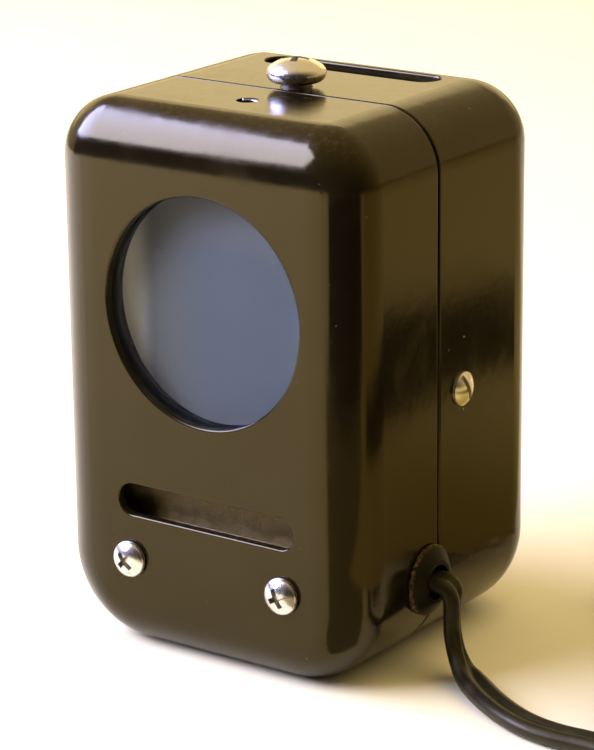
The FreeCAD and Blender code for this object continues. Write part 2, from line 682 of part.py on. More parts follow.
def plug_blades():
    blades = []
    for side in (-1, 1):
        y = PLUG_Y + side * BLADE_GAP / 2
        blade = block((PLUG_LOW_X - BLADE_L, y - 0.75, PLUG_H / 2 - 3.175),
                      (PLUG_LOW_X, y + 0.75, PLUG_H / 2 + 3.175))
        tip = [e for e in edges_at_x(blade, PLUG_LOW_X - BLADE_L) if e.BoundBox.YLength > 1.4]
        blade = blade.makeChamfer(1.4, tip)
        hole = cylinder((PLUG_LOW_X - BLADE_L + 4.0, y - 2, PLUG_H / 2), (0, 1, 0), 1.5, 4)
        blades.append(blade.cut(hole))
    return Part.makeCompound(blades)


def nodes():
    return {
        "front_shell": front_shell(),
        "rear_shell": rear_shell(),
        "joint_band": joint_band(),
        "blue_glass": blue_glass(),
        "glass_holder": glass_holder(),
        "snap_ring": snap_ring(),
        "front_screw_left": front_screw(-FRONT_SCREW_X, 45),
        "front_screw_right": front_screw(FRONT_SCREW_X, 28),
        "bracket_nut_left": bracket_nut(-FRONT_SCREW_X),
        "bracket_nut_right": bracket_nut(FRONT_SCREW_X),
        "side_screw_left": side_screw(-1, 70),
        "side_screw_right": side_screw(1, 114),
        "side_nut_left": side_nut(-1),
        "side_nut_right": side_nut(1),
        "top_screw": top_screw(),
        "top_clip": top_clip(),
        "top_nut": top_nut(),
        "tapped_nut": tapped_nut(),
        "socket_bracket": socket_bracket(),
        "socket_body": socket_body(),
        "socket_shell": socket_shell(),
        "centre_contact": centre_contact(),
        "socket_rivets": socket_rivets(),
        "terminal_screws": terminal_screws(),
        "bulb_cap": bulb_cap(),
        "bulb_insulator": bulb_insulator(),
        "bulb_tip": bulb_tip(),
        "bulb_glass": bulb_glass(),
        "bulb_stem": bulb_stem(),
        "filament": filament(),
        "grommet": grommet(),
        "strain_sleeve": strain_sleeve(),
        "inner_lead_right": inner_lead(LEAD_RIGHT, TERMINAL_X, "lead right"),
        "inner_lead_left": inner_lead(LEAD_LEFT, -TERMINAL_X, "lead left"),
        "cord_run": tube(CORD_RUN, CORD_R, "cord run"),
        "cord_coil": cord_coil(),
        "cord_tail": tube(CORD_TAIL, CORD_R, "cord tail"),
        "plug_body": plug_body(),
        "plug_boot": plug_boot(),
        "plug_blades": plug_blades(),
    }


os.makedirs("parts", exist_ok=True)
for name, shape in nodes().items():
    if not shape.isValid():
        print("not valid:", name)
    shape.exportStep("parts/%s.step" % name)
    box = shape.BoundBox
    print("%-18s solids %d  x %.2f..%.2f  y %.2f..%.2f  z %.2f..%.2f" % (
        name, len(shape.Solids), box.XMin, box.XMax, box.YMin, box.YMax, box.ZMin, box.ZMax))
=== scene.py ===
import math

import bmesh
import bpy
from mathutils import Matrix, Vector


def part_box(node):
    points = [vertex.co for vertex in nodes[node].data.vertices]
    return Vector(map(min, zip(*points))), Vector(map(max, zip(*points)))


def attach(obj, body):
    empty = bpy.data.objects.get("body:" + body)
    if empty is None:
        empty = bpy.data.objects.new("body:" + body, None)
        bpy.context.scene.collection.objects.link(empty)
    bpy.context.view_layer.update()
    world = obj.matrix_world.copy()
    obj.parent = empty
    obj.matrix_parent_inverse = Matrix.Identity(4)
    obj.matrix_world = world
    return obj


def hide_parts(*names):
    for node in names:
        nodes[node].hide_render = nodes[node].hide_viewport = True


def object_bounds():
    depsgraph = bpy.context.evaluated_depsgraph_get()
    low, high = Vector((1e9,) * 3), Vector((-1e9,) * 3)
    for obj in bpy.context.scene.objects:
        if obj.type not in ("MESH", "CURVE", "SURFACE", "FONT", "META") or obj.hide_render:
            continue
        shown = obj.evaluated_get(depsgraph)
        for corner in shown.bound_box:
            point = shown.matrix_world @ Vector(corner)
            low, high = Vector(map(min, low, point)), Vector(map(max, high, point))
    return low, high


# The looks of a small black lamp house with a round blue window. Metres, +Z up, +Y towards the back.

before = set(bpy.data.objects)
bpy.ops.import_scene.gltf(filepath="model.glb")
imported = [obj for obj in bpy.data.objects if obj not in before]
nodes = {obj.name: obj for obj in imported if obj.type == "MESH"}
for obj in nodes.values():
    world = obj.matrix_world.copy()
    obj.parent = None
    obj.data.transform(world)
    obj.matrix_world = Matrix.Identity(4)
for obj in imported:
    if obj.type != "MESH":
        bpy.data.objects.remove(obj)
cad_low, cad_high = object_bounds()
MM = 0.001

# The camera: a long lens, looking down a little, with a slight roll. Its turns are in degrees.
CAMERA_AT = (0.316588, -0.44325, 0.216004)
CAMERA_AZIMUTH = 35.564
CAMERA_ELEVATION = 17.187
CAMERA_ROLL = -0.676
CAMERA_LENS = 148.877
# The floor, as far as it goes from the middle, and how far it lies under the object
FLOOR_REACH = 4
FLOOR_Z = -0.15 * MM
# The lamps: name, azimuth, elevation, distance, size, radiance and which light they give.
# A window on the left, its harder mirror image, a warm wall behind it and a warm fill on the right.
LAMPS = [
    ("window", -54, 36, 1.0, (0.95, 0.72), (11.5, 11.0, 11.6), "soft"),
    ("window_shine", -62, 36, 0.95, (0.91, 0.69), (12.2, 13.6, 31.0), "mirror"),
    ("warm_wall", -144, 19, 1.6, (2.2, 0.75), (1.05, 0.84, 0.42), "all"),
    ("fill", 105, 60, 1.5, (1.6, 1.6), (1.4, 1.02, 0.34), "soft"),
]
# The cards that only mirror light sees, which put painted reflections into the glossy faces: name, azimuth,
# height, corners and colour. Black cards for a dark room beyond the front corner and a dark skirting before the
# front, painted floor shade and a warm card just above the floor beside the side face, painted reflection of the
# shaded floor that also hides the coil, and a painted dark patch behind, which the side face shows.
BLACK = (0.0, 0.0, 0.0)
CARDS = [
    ("dark_room", 40, 0.001, [(0.19, -0.13), (0.19, 0.13), (3.0, 2.1), (3.0, -2.1)], BLACK),
    ("dark_skirting", -38, 0.001,
     [(0.64, -0.5), (0.64, 0.35), (0.98, 0.6, 0.33), (0.98, -0.9, 0.33)], BLACK),
    # painted shade: a dimmer floor, seen only in reflections
    ("painted_floor_shade", 90, 0.0006,
     [(0.028, -0.032), (-0.004, -0.230), (0.120, -0.260), (0.230, -0.080), (0.036, -0.026)],
     (0.20, 0.175, 0.115)),
    # painted reflection: the warm shaded floor, lifted over the coil so that the coil's reflection is hidden
    ("warm_card", 90, 0.0148,
     [(0.047, -0.045), (0.047, 0.008), (0.038, 0.012), (0.038, 0.20), (2.5, 4.0), (4.0, 4.0), (4.0, -0.3)],
     (0.50, 0.43, 0.20)),
    # painted shade: a black patch, seen only in reflections
    ("painted_dark_patch", 144.5, 0.0158,
     [(0.152, 0.0), (0.143, -0.013), (0.131, -0.022), (0.103, -0.037), (0.072, -0.085), (0.040, -0.115),
      (0.070, -0.150), (0.125, -0.110), (0.187, -0.042), (0.199, -0.022), (0.212, -0.013), (0.225, 0.0)],
     BLACK),
]
# The room's own glow: its colour, the way to its bright side, and its strength from the dark side to there
ROOM_COLOUR = (1.0, 0.74, 0.34)
ROOM_BRIGHT_SIDE = (215, 20)
ROOM_RAMP = {"From Min": -0.8, "From Max": 0.5, "To Min": 0.02, "To Max": 0.75}

# The flex's section: two lobes, each drawn that many degrees to both sides of its outermost point in that
# many steps, and the depth of the crease between them, from the middle
LOBE_R = 1.5 * MM
LOBE_SHIFT = 1.4 * MM
LOBE_SWEEP = 128
LOBE_STEPS = 6
CREASE = 0.95 * MM
# Its size, and its route before and after the coil
CORD_RUN = [
    (0.0249, -0.00785, 0.0170), (0.0323, -0.00786, 0.0170), (0.0368, -0.0079, 0.0173),
    (0.0390, -0.0080, 0.0160), (0.0388, -0.0081, 0.0120), (0.0390, -0.0083, 0.0080),
    (0.0410, -0.0095, 0.0040), (0.0449, -0.0118, 0.00185), (0.0532, -0.0180, 0.00152),
    (0.0619, -0.0226, 0.00152), (0.0692, -0.0241, 0.00155), (0.0776, -0.0242, 0.0020),
    (0.0905, -0.0270, 0.00295),
]
CORD_TAIL = [
    (0.1045, 0.0428, 0.0088), (0.0985, 0.0446, 0.0077), (0.0915, 0.0455, 0.0070), (0.0880, 0.0455, 0.0070),
]
# The way the flex's wide side points, at distances along it. The last one stands it on edge for the coil.
WIDE_SIDE = [
    (0.000, (0.0, 1.0, 0.0)), (0.012, (-0.1, 1.0, 0.0)), (0.018, (-0.5, 0.87, 0.0)),
    (0.028, (-0.5, 0.87, 0.0)), (0.038, (0.1, 1.0, 0.0)), (0.052, (0.55, 0.83, 0.0)),
    (0.078, (0.1, 1.0, 0.0)), (0.098, (0.0, 0.0, -1.0)),
]
# The coil of put-away turns, in two layers: wound inwards below, and outwards again on top. Its turns
# are a little uneven, by a share of their radius that comes round twice a turn.
COIL_CENTRE = (0.110, 0.005)
COIL_INNER = 0.0220
COIL_OUTER = 0.0370
COIL_LOW_Z = 2.95 * MM
COIL_STEP_Z = 5.9 * MM
COIL_START_DEGREES = 258
COIL_END_DEGREES = 90 + 360
COIL_START = math.radians(COIL_START_DEGREES)
COIL_TURNS = 9 + (COIL_END_DEGREES - COIL_START_DEGREES) / 360
POINTS_A_TURN = 16
COIL_WOBBLE = 0.012
COIL_WOBBLE_AT = 0.6
COIL_CLIMB_TURNS = 0.45
SPLINE_FINENESS = 10
# The strap round the coil: where it is, its inner and outer corners as (out, up), its corners' radius, its
# width, its section as (share of its thickness, share of half its width), and the cosine of the angle
# to each side of it where the turns are lifted by its thickness
TIE_ANGLE = math.radians(205)
TIE_T = 0.6 * MM
TIE_LOW = (20.2 * MM, 0.6 * MM)
TIE_HIGH = (39.3 * MM, 12.4 * MM)
TIE_ROUND = 2.4 * MM
TIE_WIDTH = 6.0 * MM
TIE_CORNER_POINTS = 13
TIE_SECTION = ((0.0, -1), (0.0, 1), (0.75, 1), (1.0, 0.9), (1.0, -0.9), (0.75, -1))
TIE_NEAR = 0.96
# The thread in the small tapped hole on top: its flank as a share of the pitch, how far its root is sunk
# in the wall, and half the flat of its crest
THREAD_AT = (0.0, -14.35 * MM)
THREAD_R = 2.05 * MM
THREAD_Z = (97.0 * MM, 101.3 * MM)
THREAD_PITCH = 0.79 * MM
THREAD_DEPTH = 0.28 * MM
THREAD_FLANK = 0.42
THREAD_ROOT = 0.04 * MM
THREAD_CREST = 0.03 * MM
THREAD_POINTS_A_TURN = 28
# A chip in the paint, and where and how steeply the front face starts to round off inside its edges
NICK_AT = (28.4 * MM, -29.35 * MM, 63.5 * MM)
FALL_FROM_SIDE = 11.0 * MM
FALL_FROM_TOP = 11.3 * MM
FALL_ACROSS = 0.016
FALL_UP = 0.024
FALL_EASE = 4.0
# The tints of reflections on the black surfaces, the darker brown laid into hollows and tight corners where little
# of the surroundings is open, how scratched the bare metal is, and the size of the mouldings' grain
ENAMEL_TINT = (1.0, 0.79, 0.29)
PLASTIC_TINT = (1.0, 0.80, 0.32)
GROMMET_TINT = (1.0, 0.82, 0.42)
HOLLOW_COLOUR = (0.20, 0.16, 0.09)
SCRATCH = 0.4
PLASTIC_GRAIN = 0.6 * MM
# How near a face of the glass disc lies to the disc's front or back to count as that side
FACE_REACH = 0.05 * MM


# Camera, floor and lights

def make_camera():
    azimuth, elevation, roll = [math.radians(a) for a in (CAMERA_AZIMUTH, CAMERA_ELEVATION, CAMERA_ROLL)]
    data = bpy.data.cameras.new("camera")
    data.lens = CAMERA_LENS
    camera = bpy.data.objects.new("camera", data)
    camera.matrix_world = (
        Matrix.Translation(CAMERA_AT)
        @ Matrix.Rotation(azimuth, 4, "Z")
        @ Matrix.Rotation(math.pi / 2 - elevation, 4, "X")
        @ Matrix.Rotation(roll, 4, "Z")
    )
    bpy.context.scene.collection.objects.link(camera)
    bpy.context.scene.camera = camera


def direction(azimuth, elevation):
    """A unit vector. Azimuth 0 is towards the front, and 90 towards +X."""
    a, e = math.radians(azimuth), math.radians(elevation)
    return Vector((math.sin(a) * math.cos(e), -math.cos(a) * math.cos(e), math.sin(e)))


def area_light(name, azimuth, elevation, distance, size, radiance, gives):
    """A soft panel that faces the object, as bright as radiance says, for soft or mirror light or both."""
    middle = (cad_low + cad_high) / 2
    middle.x = 0
    data = bpy.data.lights.new(name, "AREA")
    data.shape = "RECTANGLE"
    data.size, data.size_y = size
    strongest = max(radiance)
    data.color = [c / strongest for c in radiance]
    data.energy = strongest * math.pi * size[0] * size[1]
    lamp = bpy.data.objects.new(name, data)
    lamp.location = middle + direction(azimuth, elevation) * distance
    lamp.rotation_euler = direction(azimuth, elevation).to_track_quat("Z", "Y").to_euler()
    lamp.visible_glossy = gives != "soft"
    lamp.visible_diffuse = gives != "mirror"
    bpy.context.scene.collection.objects.link(lamp)


def link(name, mesh):
    piece = bpy.data.objects.new(name, mesh)
    bpy.context.scene.collection.objects.link(piece)
    return piece


def card(name, azimuth, height, corners, colour):
    """A card that only mirror light sees. Its corners are (along the azimuth, across[, up if not height])."""
    mesh = bpy.data.meshes.new(name)
    out = direction(azimuth, 0)
    side = Vector((-out.y, out.x, 0))
    places = [out * c[0] + side * c[1] + Vector((0, 0, c[2] if len(c) > 2 else height)) for c in corners]
    mesh.from_pydata(places, [], [tuple(range(len(places)))])
    piece = link(name, mesh)
    shade = Shade(name, colour, 1.0)
    shade.shader.inputs["Specular IOR Level"].default_value = 0.0
    mesh.materials.append(shade.material)
    piece.visible_camera = False
    piece.visible_diffuse = False
    piece.visible_shadow = False
    piece.visible_transmission = False


def make_stage():
    mesh = bpy.data.meshes.new("floor")
    corners = [(x * FLOOR_REACH, y * FLOOR_REACH, FLOOR_Z) for x, y in ((-1, -1), (1, -1), (1, 1), (-1, 1))]
    mesh.from_pydata(corners, [], [(0, 1, 2, 3)])
    mesh.materials.append(floor_paper())
    link("floor", mesh)
    for lamp in LAMPS:
        area_light(*lamp)
    for piece in CARDS:
        card(*piece)


def make_room():
    """A warm glow all round, brighter on one side."""
    world = bpy.data.worlds.new("room")
    bpy.context.scene.world = world
    world.use_nodes = True
    tree = world.node_tree
    back = tree.nodes["Background"]
    way = tree.nodes.new("ShaderNodeTexCoord")
    dot = tree.nodes.new("ShaderNodeVectorMath")
    dot.operation = "DOT_PRODUCT"
    dot.inputs[1].default_value = direction(*ROOM_BRIGHT_SIDE)
    ramp = tree.nodes.new("ShaderNodeMapRange")
    ramp.interpolation_type = "SMOOTHSTEP"
    for name, value in ROOM_RAMP.items():
        ramp.inputs[name].default_value = value
    tree.links.new(way.outputs["Generated"], dot.inputs[0])
    tree.links.new(dot.outputs["Value"], ramp.inputs["Value"])
    tree.links.new(ramp.outputs["Result"], back.inputs["Strength"])
    back.inputs["Color"].default_value = (*ROOM_COLOUR, 1)
    bpy.context.scene.view_settings.view_transform = "Standard"


# Materials

class Shade:
    """One node material, built with short calls. Lengths are in metres."""

    def __init__(self, name, colour, roughness, metallic=0.0):
        self.material = bpy.data.materials.new(name)
        self.material.use_nodes = True
        self.tree = self.material.node_tree
        self.shader = self.tree.nodes["Principled BSDF"]
        self.set("Base Color", colour)
        self.set("Roughness", roughness)
        self.set("Metallic", metallic)
        self.place = self.add("TexCoord", {}, "Object")

    def set(self, name, value):
        self.feed(self.shader.inputs[name], value)

    def feed(self, socket, value):
        if isinstance(value, bpy.types.NodeSocket):
            self.tree.links.new(value, socket)
        elif isinstance(value, (tuple, list)) and len(value) == 3 and socket.type == "RGBA":
            socket.default_value = (*value, 1)
        else:
            socket.default_value = value

    def add(self, kind, inputs, output, **settings):
        node = self.tree.nodes.new("ShaderNode" + kind)
        for name, value in settings.items():
            setattr(node, name, value)
        for name, value in inputs.items():
            self.feed(node.inputs[name], value)
        return node.outputs[output]

    def math(self, operation, a, b=0.5):
        return self.add("Math", {0: a, 1: b}, 0, operation=operation)

    def vector(self, operation, a, b=(0, 0, 0), output=0):
        return self.add("VectorMath", {0: a, 1: b}, output, operation=operation)

    def axis(self, name, place=None):
        return self.add("SeparateXYZ", {0: place or self.place}, name)

    def facing(self, name, low, high):
        """How far the surface itself, without its bumps, faces along an axis."""
        return self.ramp(self.axis(name, self.add("NewGeometry", {}, "Normal")), low, high)

    def away(self, centre, keep=(1, 1, 1)):
        """The distance from a point, or from an axis through it where keep leaves one out."""
        gap = self.vector("MULTIPLY", self.vector("SUBTRACT", self.place, centre), keep)
        return self.vector("LENGTH", gap, output="Value")

    def noise(self, size, detail=3.0, rough=0.5, stretch=(1, 1, 1), warp=0.0):
        place = self.vector("MULTIPLY", self.place, [s / size for s in stretch])
        return self.add("TexNoise", {"Vector": place, "Scale": 1.0, "Detail": detail, "Roughness": rough,
                                     "Distortion": warp}, "Fac")

    def ramp(self, value, low, high, a=0.0, b=1.0):
        """Smoothly from a, where the value is low, to b, where it is high."""
        return self.add("MapRange", {"Value": value, "From Min": low, "From Max": high, "To Min": a,
                                     "To Max": b}, "Result", interpolation_type="SMOOTHSTEP")

    def eased(self, value, reach):
        """Rises from nought as a square does, and straight on past that reach. Counted in millimetres."""
        u = self.math("MAXIMUM", self.math("DIVIDE", value, MM), 0.0)
        bent = self.math("MINIMUM", u, reach)
        return self.both(bent, self.less(self.both(u, 2.0), bent))

    def mix(self, share, a, b):
        return self.add("Mix", {0: share, 6: a, 7: b}, 2, data_type="RGBA")

    def both(self, a, b):
        return self.math("MULTIPLY", a, b)

    def sum(self, a, b):
        return self.math("ADD", a, b)

    def less(self, a, b):
        return self.math("SUBTRACT", a, b)

    def either(self, a, b):
        return self.math("MAXIMUM", a, b)

    def spots(self, cell, reach, share, shift=0.0, ragged=0.0):
        """Scattered specks: one in a share of the cells, each up to reach across."""
        place = self.vector("MULTIPLY", self.place, (1 / cell,) * 3)
        place = self.vector("ADD", place, (shift, shift * 2, -shift))
        if ragged:
            bend = self.add("TexNoise", {"Vector": place, "Scale": 9.0, "Detail": 2.0}, "Color")
            bend = self.vector("MULTIPLY", self.vector("SUBTRACT", bend, (0.5, 0.5, 0.5)), (ragged,) * 3)
            place = self.vector("ADD", place, bend)
        cells = self.tree.nodes.new("ShaderNodeTexVoronoi")
        self.feed(cells.inputs["Vector"], place)
        self.feed(cells.inputs["Scale"], 1.0)
        draw = self.add("SeparateColor", {0: cells.outputs["Color"]}, "Red")
        size = self.add("SeparateColor", {0: cells.outputs["Color"]}, "Green")
        radius = self.both(self.sum(self.both(size, size), 0.2), reach / cell)
        near = self.ramp(self.math("DIVIDE", cells.outputs["Distance"], radius), 1.0, 0.6)
        return self.both(near, self.math("LESS_THAN", draw, share))

    def bump(self, height, distance, strength=1.0):
        """A height in units of distance; a negative distance makes a hollow."""
        if distance < 0:
            height, distance = self.both(height, -1.0), -distance
        inputs = {"Height": height, "Distance": distance, "Strength": strength}
        normal = self.shader.inputs["Normal"]
        if normal.is_linked:
            inputs["Normal"] = normal.links[0].from_socket
        self.set("Normal", self.add("Bump", inputs, "Normal"))


def floor_paper():
    """Plain pale paper with a faint grain."""
    s = Shade("floor_paper", (0.80, 0.79, 0.77), 0.75)
    grain = s.noise(0.7 * MM, 4)
    s.set("Base Color", s.mix(s.ramp(s.noise(50 * MM, 2), 0.3, 0.7), (0.80, 0.79, 0.77), (0.82, 0.80, 0.77)))
    s.set("Specular IOR Level", 0.2)
    s.bump(grain, 0.05 * MM, 0.3)
    return s.material


def black_enamel():
    """Gloss baked enamel: faint orange peel, handling haze, dust specks and a few small chips."""
    s = Shade("black_enamel", (0.008, 0.006, 0.003), 0.12)
    haze = s.ramp(s.noise(14 * MM, 5, 0.6, warp=0.4), 0.42, 0.75)
    dust = s.either(s.spots(4.0 * MM, 0.19 * MM, 0.45, ragged=0.15),
                    s.spots(1.8 * MM, 0.09 * MM, 0.5, shift=3.0, ragged=0.1))
    chips = s.spots(17 * MM, 0.35 * MM, 0.22, shift=7.0, ragged=0.3)
    upward = s.facing("Z", 0.3, 0.95)
    film = s.both(upward, s.ramp(s.noise(1.1 * MM, 4, 0.7), 0.45, 0.8, 0.0, 0.16))
    colour = s.mix(haze, (0.006, 0.0045, 0.0025), (0.010, 0.0075, 0.004))
    colour = s.mix(film, colour, (0.16, 0.13, 0.09))
    colour = s.mix(s.both(dust, 0.7), colour, (0.46, 0.37, 0.25))
    chipped = (0.30, 0.24, 0.17)
    # the nick is a ragged spot, taller than it is wide
    nick = s.sum(s.away(NICK_AT, (1.0, 1.0, 0.55)), s.both(s.noise(0.5 * MM, 3), 0.5 * MM))
    nick = s.ramp(nick, 0.62 * MM, 0.50 * MM)
    colour = s.mix(nick, s.mix(chips, colour, chipped), (0.55, 0.50, 0.40))
    s.set("Base Color", colour)
    rough = s.ramp(haze, 0.0, 1.0, 0.13, 0.20)
    rough = s.sum(rough, s.both(s.ramp(s.noise(0.6 * MM, 3), 0.4, 0.8), 0.05))
    s.set("Roughness", s.either(rough, s.both(s.either(dust, s.either(nick, chips)), 0.6)))
    s.set("IOR", 1.46)
    s.set("Specular Tint", ENAMEL_TINT)
    # the drawn face already starts to round off a little inside its edge
    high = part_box("front_shell")[1]
    across = s.eased(s.less(s.math("ABSOLUTE", s.axis("X")), high.x - FALL_FROM_SIDE), FALL_EASE)
    up = s.eased(s.less(s.axis("Z"), high.z - FALL_FROM_TOP), FALL_EASE)
    front = s.facing("Y", -0.3, -0.95)
    fall = s.sum(s.both(across, FALL_ACROSS), s.both(up, FALL_UP))
    s.bump(s.both(fall, front), -1.0 * MM)
    # orange peel, coarse and fine, then dust that stands up and chips that go in
    s.bump(s.noise(3.5 * MM, 2, 0.4), 0.022 * MM)
    s.bump(s.noise(0.5 * MM, 2, 0.5), 0.0024 * MM)
    s.bump(s.either(dust, s.both(chips, -1.0)), 0.03 * MM)
    return s.material


def bare_metal(name, colour, roughness, stain, stain_share, hollow_darkening=0.0):
    """Bare metal with fine scratches, pits and a stain in patches, which can also turn darker, browner and rougher
    in hollows and tight corners, where little of the surroundings is open.
    """
    s = Shade(name, colour, roughness, 1.0)
    patches = s.ramp(s.noise(1.6 * MM, 5, 0.65), 0.62 - stain_share, 0.85 - stain_share * 0.6)
    pits = s.spots(0.9 * MM, 0.07 * MM, 0.5, shift=5.0, ragged=0.2)
    lines = s.ramp(s.noise(0.10 * MM, 2, 0.6, (1.0, 0.12, 0.5)), 0.55, 0.8)
    face = s.mix(s.either(s.both(patches, 0.8), pits), colour, stain)
    worn = s.both(lines, SCRATCH * 0.25)
    rough = s.sum(s.ramp(patches, 0, 1, roughness, roughness + 0.25), worn)
    if hollow_darkening:
        # darker, browner and rougher where ambient occlusion finds little open around the surface
        open_sky = s.add("AmbientOcclusion", {"Distance": 1.3 * MM}, "AO", samples=6)
        hollow_mask = s.ramp(open_sky, 0.80, 0.45, 0.0, hollow_darkening)
        face = s.mix(hollow_mask, face, HOLLOW_COLOUR)
        rough = s.either(rough, s.both(hollow_mask, 0.65))
        s.set("Metallic", s.less(1.0, s.both(hollow_mask, 0.8)))
    s.set("Base Color", face)
    s.set("Roughness", rough)
    s.bump(lines, 0.003 * MM, SCRATCH)
    s.bump(s.less(s.noise(0.9 * MM, 2), s.both(pits, 0.6)), 0.02 * MM, 0.6)
    return s.material


def rusty_steel():
    """Plated steel, brown all over, rusty in patches and pitted."""
    s = Shade("rusty_steel", (0.20, 0.13, 0.07), 0.7)
    rust = s.ramp(s.noise(2.2 * MM, 6, 0.7, warp=0.5), 0.35, 0.7)
    grain = s.noise(0.35 * MM, 4, 0.7)
    colour = s.mix(rust, (0.145, 0.112, 0.037), (0.20, 0.14, 0.043))
    colour = s.mix(s.ramp(grain, 0.5, 0.8, 0.0, 0.5), colour, (0.06, 0.045, 0.02))
    s.set("Base Color", colour)
    s.set("Metallic", s.ramp(rust, 0.0, 1.0, 0.3, 0.0))
    s.set("Roughness", s.ramp(rust, 0.0, 1.0, 0.45, 0.85))
    s.bump(grain, 0.05 * MM, 0.8)
    s.bump(rust, 0.06 * MM, 0.6)
    return s.material


def moulded(name, colour, roughness, dusty=0.3):
    """Moulded plastic or rubber: a soft grain, dust specks and paler rubbed patches."""
    s = Shade(name, colour, roughness)
    rubbed = s.ramp(s.noise(4 * MM, 4, 0.6), 0.45, 0.8)
    dust = s.either(s.spots(2.6 * MM, 0.13 * MM, dusty, ragged=0.2), s.spots(1.1 * MM, 0.06 * MM, dusty, shift=4.0))
    pale = tuple(min(1.0, c * 1.7 + 0.004) for c in colour)
    s.set("Base Color", s.mix(s.both(dust, 0.7), s.mix(rubbed, colour, pale), (0.34, 0.28, 0.19)))
    s.set("Roughness", s.either(s.ramp(rubbed, 0, 1, roughness, roughness + 0.15), s.both(dust, 0.8)))
    s.set("Specular Tint", PLASTIC_TINT)
    s.set("Specular IOR Level", 0.34)
    s.bump(s.noise(PLASTIC_GRAIN, 3), 0.02 * MM, 0.6)
    s.bump(s.noise(PLASTIC_GRAIN * 5, 2), 0.05 * MM, 0.4)
    return s.material


def grommet_rubber():
    """Aged black rubber with a line of brown dust where its flange meets the wall."""
    low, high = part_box("grommet")
    centre = (low + high) / 2
    s = Shade("grommet_rubber", (0.010, 0.0085, 0.006), 0.5)
    off_axis = s.away(centre, (0, 1, 1))
    rim = s.ramp(off_axis, 5.9 * MM, 6.5 * MM)
    broken = s.ramp(s.noise(0.7 * MM, 4, 0.7), 0.4, 0.65)
    bloom = s.ramp(s.noise(2.4 * MM, 4, 0.6), 0.4, 0.8)
    colour = s.mix(bloom, (0.006, 0.0055, 0.0035), (0.011, 0.010, 0.006))
    colour = s.mix(s.both(s.both(rim, broken), 0.8), colour, (0.16, 0.10, 0.05))
    s.set("Specular IOR Level", 0.12)
    s.set("Specular Tint", GROMMET_TINT)
    dust = s.spots(1.5 * MM, 0.10 * MM, 0.35, ragged=0.2)
    s.set("Base Color", s.mix(s.both(dust, 0.6), colour, (0.26, 0.19, 0.11)))
    s.set("Roughness", s.ramp(bloom, 0, 1, 0.42, 0.6))
    s.bump(s.noise(0.5 * MM, 3), 0.03 * MM, 0.7)
    s.bump(s.noise(3.0 * MM, 2), 0.15 * MM, 0.4)
    return s.material


def clear_glass():
    """Thin clear bulb glass, a little smeared."""
    s = Shade("clear_glass", (0.92, 0.94, 0.94), 0.03)
    s.set("Roughness", s.ramp(s.noise(3 * MM, 4), 0.4, 0.8, 0.02, 0.08))
    s.set("Transmission Weight", 1.0)
    s.bump(s.noise(6 * MM, 2), 0.02 * MM)
    return s.material


def window_front():
    """The polished face of the blue glass: clear, faintly blue, with dust and a faint smear."""
    s = Shade("window_front", (0.3, 0.4, 0.7), 0.03)
    dust = s.either(s.spots(3.4 * MM, 0.16 * MM, 0.35, ragged=0.2),
                    s.spots(1.3 * MM, 0.07 * MM, 0.35, shift=2.0))
    # light passes straight to the ground back, and what is seen through the face is bent as in real glass
    straight = s.add("BsdfTransparent", {"Color": (0.64, 0.69, 0.74)}, 0)
    bent = s.add("BsdfRefraction", {"Color": (0.80, 0.82, 0.85), "Roughness": 0.0, "IOR": 1.52}, 0)
    clear = s.add("MixShader", {0: s.add("LightPath", {}, "Is Shadow Ray"), 1: bent, 2: straight}, 0)
    gloss = s.add("BsdfGlossy", {"Color": (1, 1, 1), "Roughness": 0.04}, 0)
    edge = s.add("Fresnel", {"IOR": 1.15}, 0)
    film = s.add("BsdfDiffuse", {"Color": (0.55, 0.5, 0.42)}, 0)
    glass = s.add("MixShader", {0: edge, 1: clear, 2: gloss}, 0)
    smear = s.ramp(s.noise(7 * MM, 5, 0.65), 0.4, 0.8, 0.0, 0.008)
    glass = s.add("MixShader", {0: s.either(smear, s.both(dust, 0.6)), 1: glass, 2: film}, 0)
    s.feed(s.tree.nodes["Material Output"].inputs["Surface"], glass)
    s.tree.nodes.remove(s.shader)
    return s.material


def window_back():
    """The ground back of the blue glass: milky blue with a fine grain and cloudy handling marks, with painted light
    on its left edge and painted reflection on its left and top.
    """
    s = Shade("window_back", (0.30, 0.35, 0.52), 0.8)
    cloud = s.ramp(s.noise(9 * MM, 5, 0.6, warp=0.6), 0.3, 0.75)
    grain = s.noise(0.35 * MM, 3, 0.6)
    spots = s.spots(2.8 * MM, 0.14 * MM, 0.3, ragged=0.25)
    low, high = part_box("blue_glass")
    middle = (low + high) / 2 + Vector((3 * MM, 0, -2 * MM))
    to_rim = s.ramp(s.away(middle, (1, 0, 1)), 11 * MM, 22 * MM)
    # the left of the disc is in the rim's shade, so its left edge is painted pale as painted light, and the left is
    # painted warmer and the top paler as painted reflection of the warm room
    painted_reflection_fade = s.ramp(s.axis("X"), -15 * MM, 0.0)
    painted_light_left_edge = s.ramp(s.axis("X"), -20.5 * MM, -14 * MM)
    colour = s.mix(to_rim, (0.114, 0.133, 0.138), (0.135, 0.140, 0.128))
    colour = s.mix(s.both(cloud, 0.35), colour, (0.145, 0.155, 0.146))
    colour = s.mix(s.ramp(grain, 0.35, 0.8, 0.0, 0.2), colour, (0.108, 0.124, 0.132))
    # painted reflection: warmer towards the left
    colour = s.mix(painted_reflection_fade, (0.135, 0.135, 0.108), colour)
    # painted reflection: paler towards the top
    colour = s.mix(s.ramp(s.axis("Z"), 74 * MM, 87 * MM), colour, (0.21, 0.212, 0.195))
    # painted light: pale at the left edge, over the rim's shadow
    colour = s.mix(painted_light_left_edge, (0.90, 0.86, 0.62), colour)
    s.set("Base Color", s.mix(s.both(spots, 0.6), colour, (0.30, 0.30, 0.28)))
    s.set("Specular IOR Level", 0.1)
    s.bump(grain, 0.003 * MM, 0.4)
    return s.material


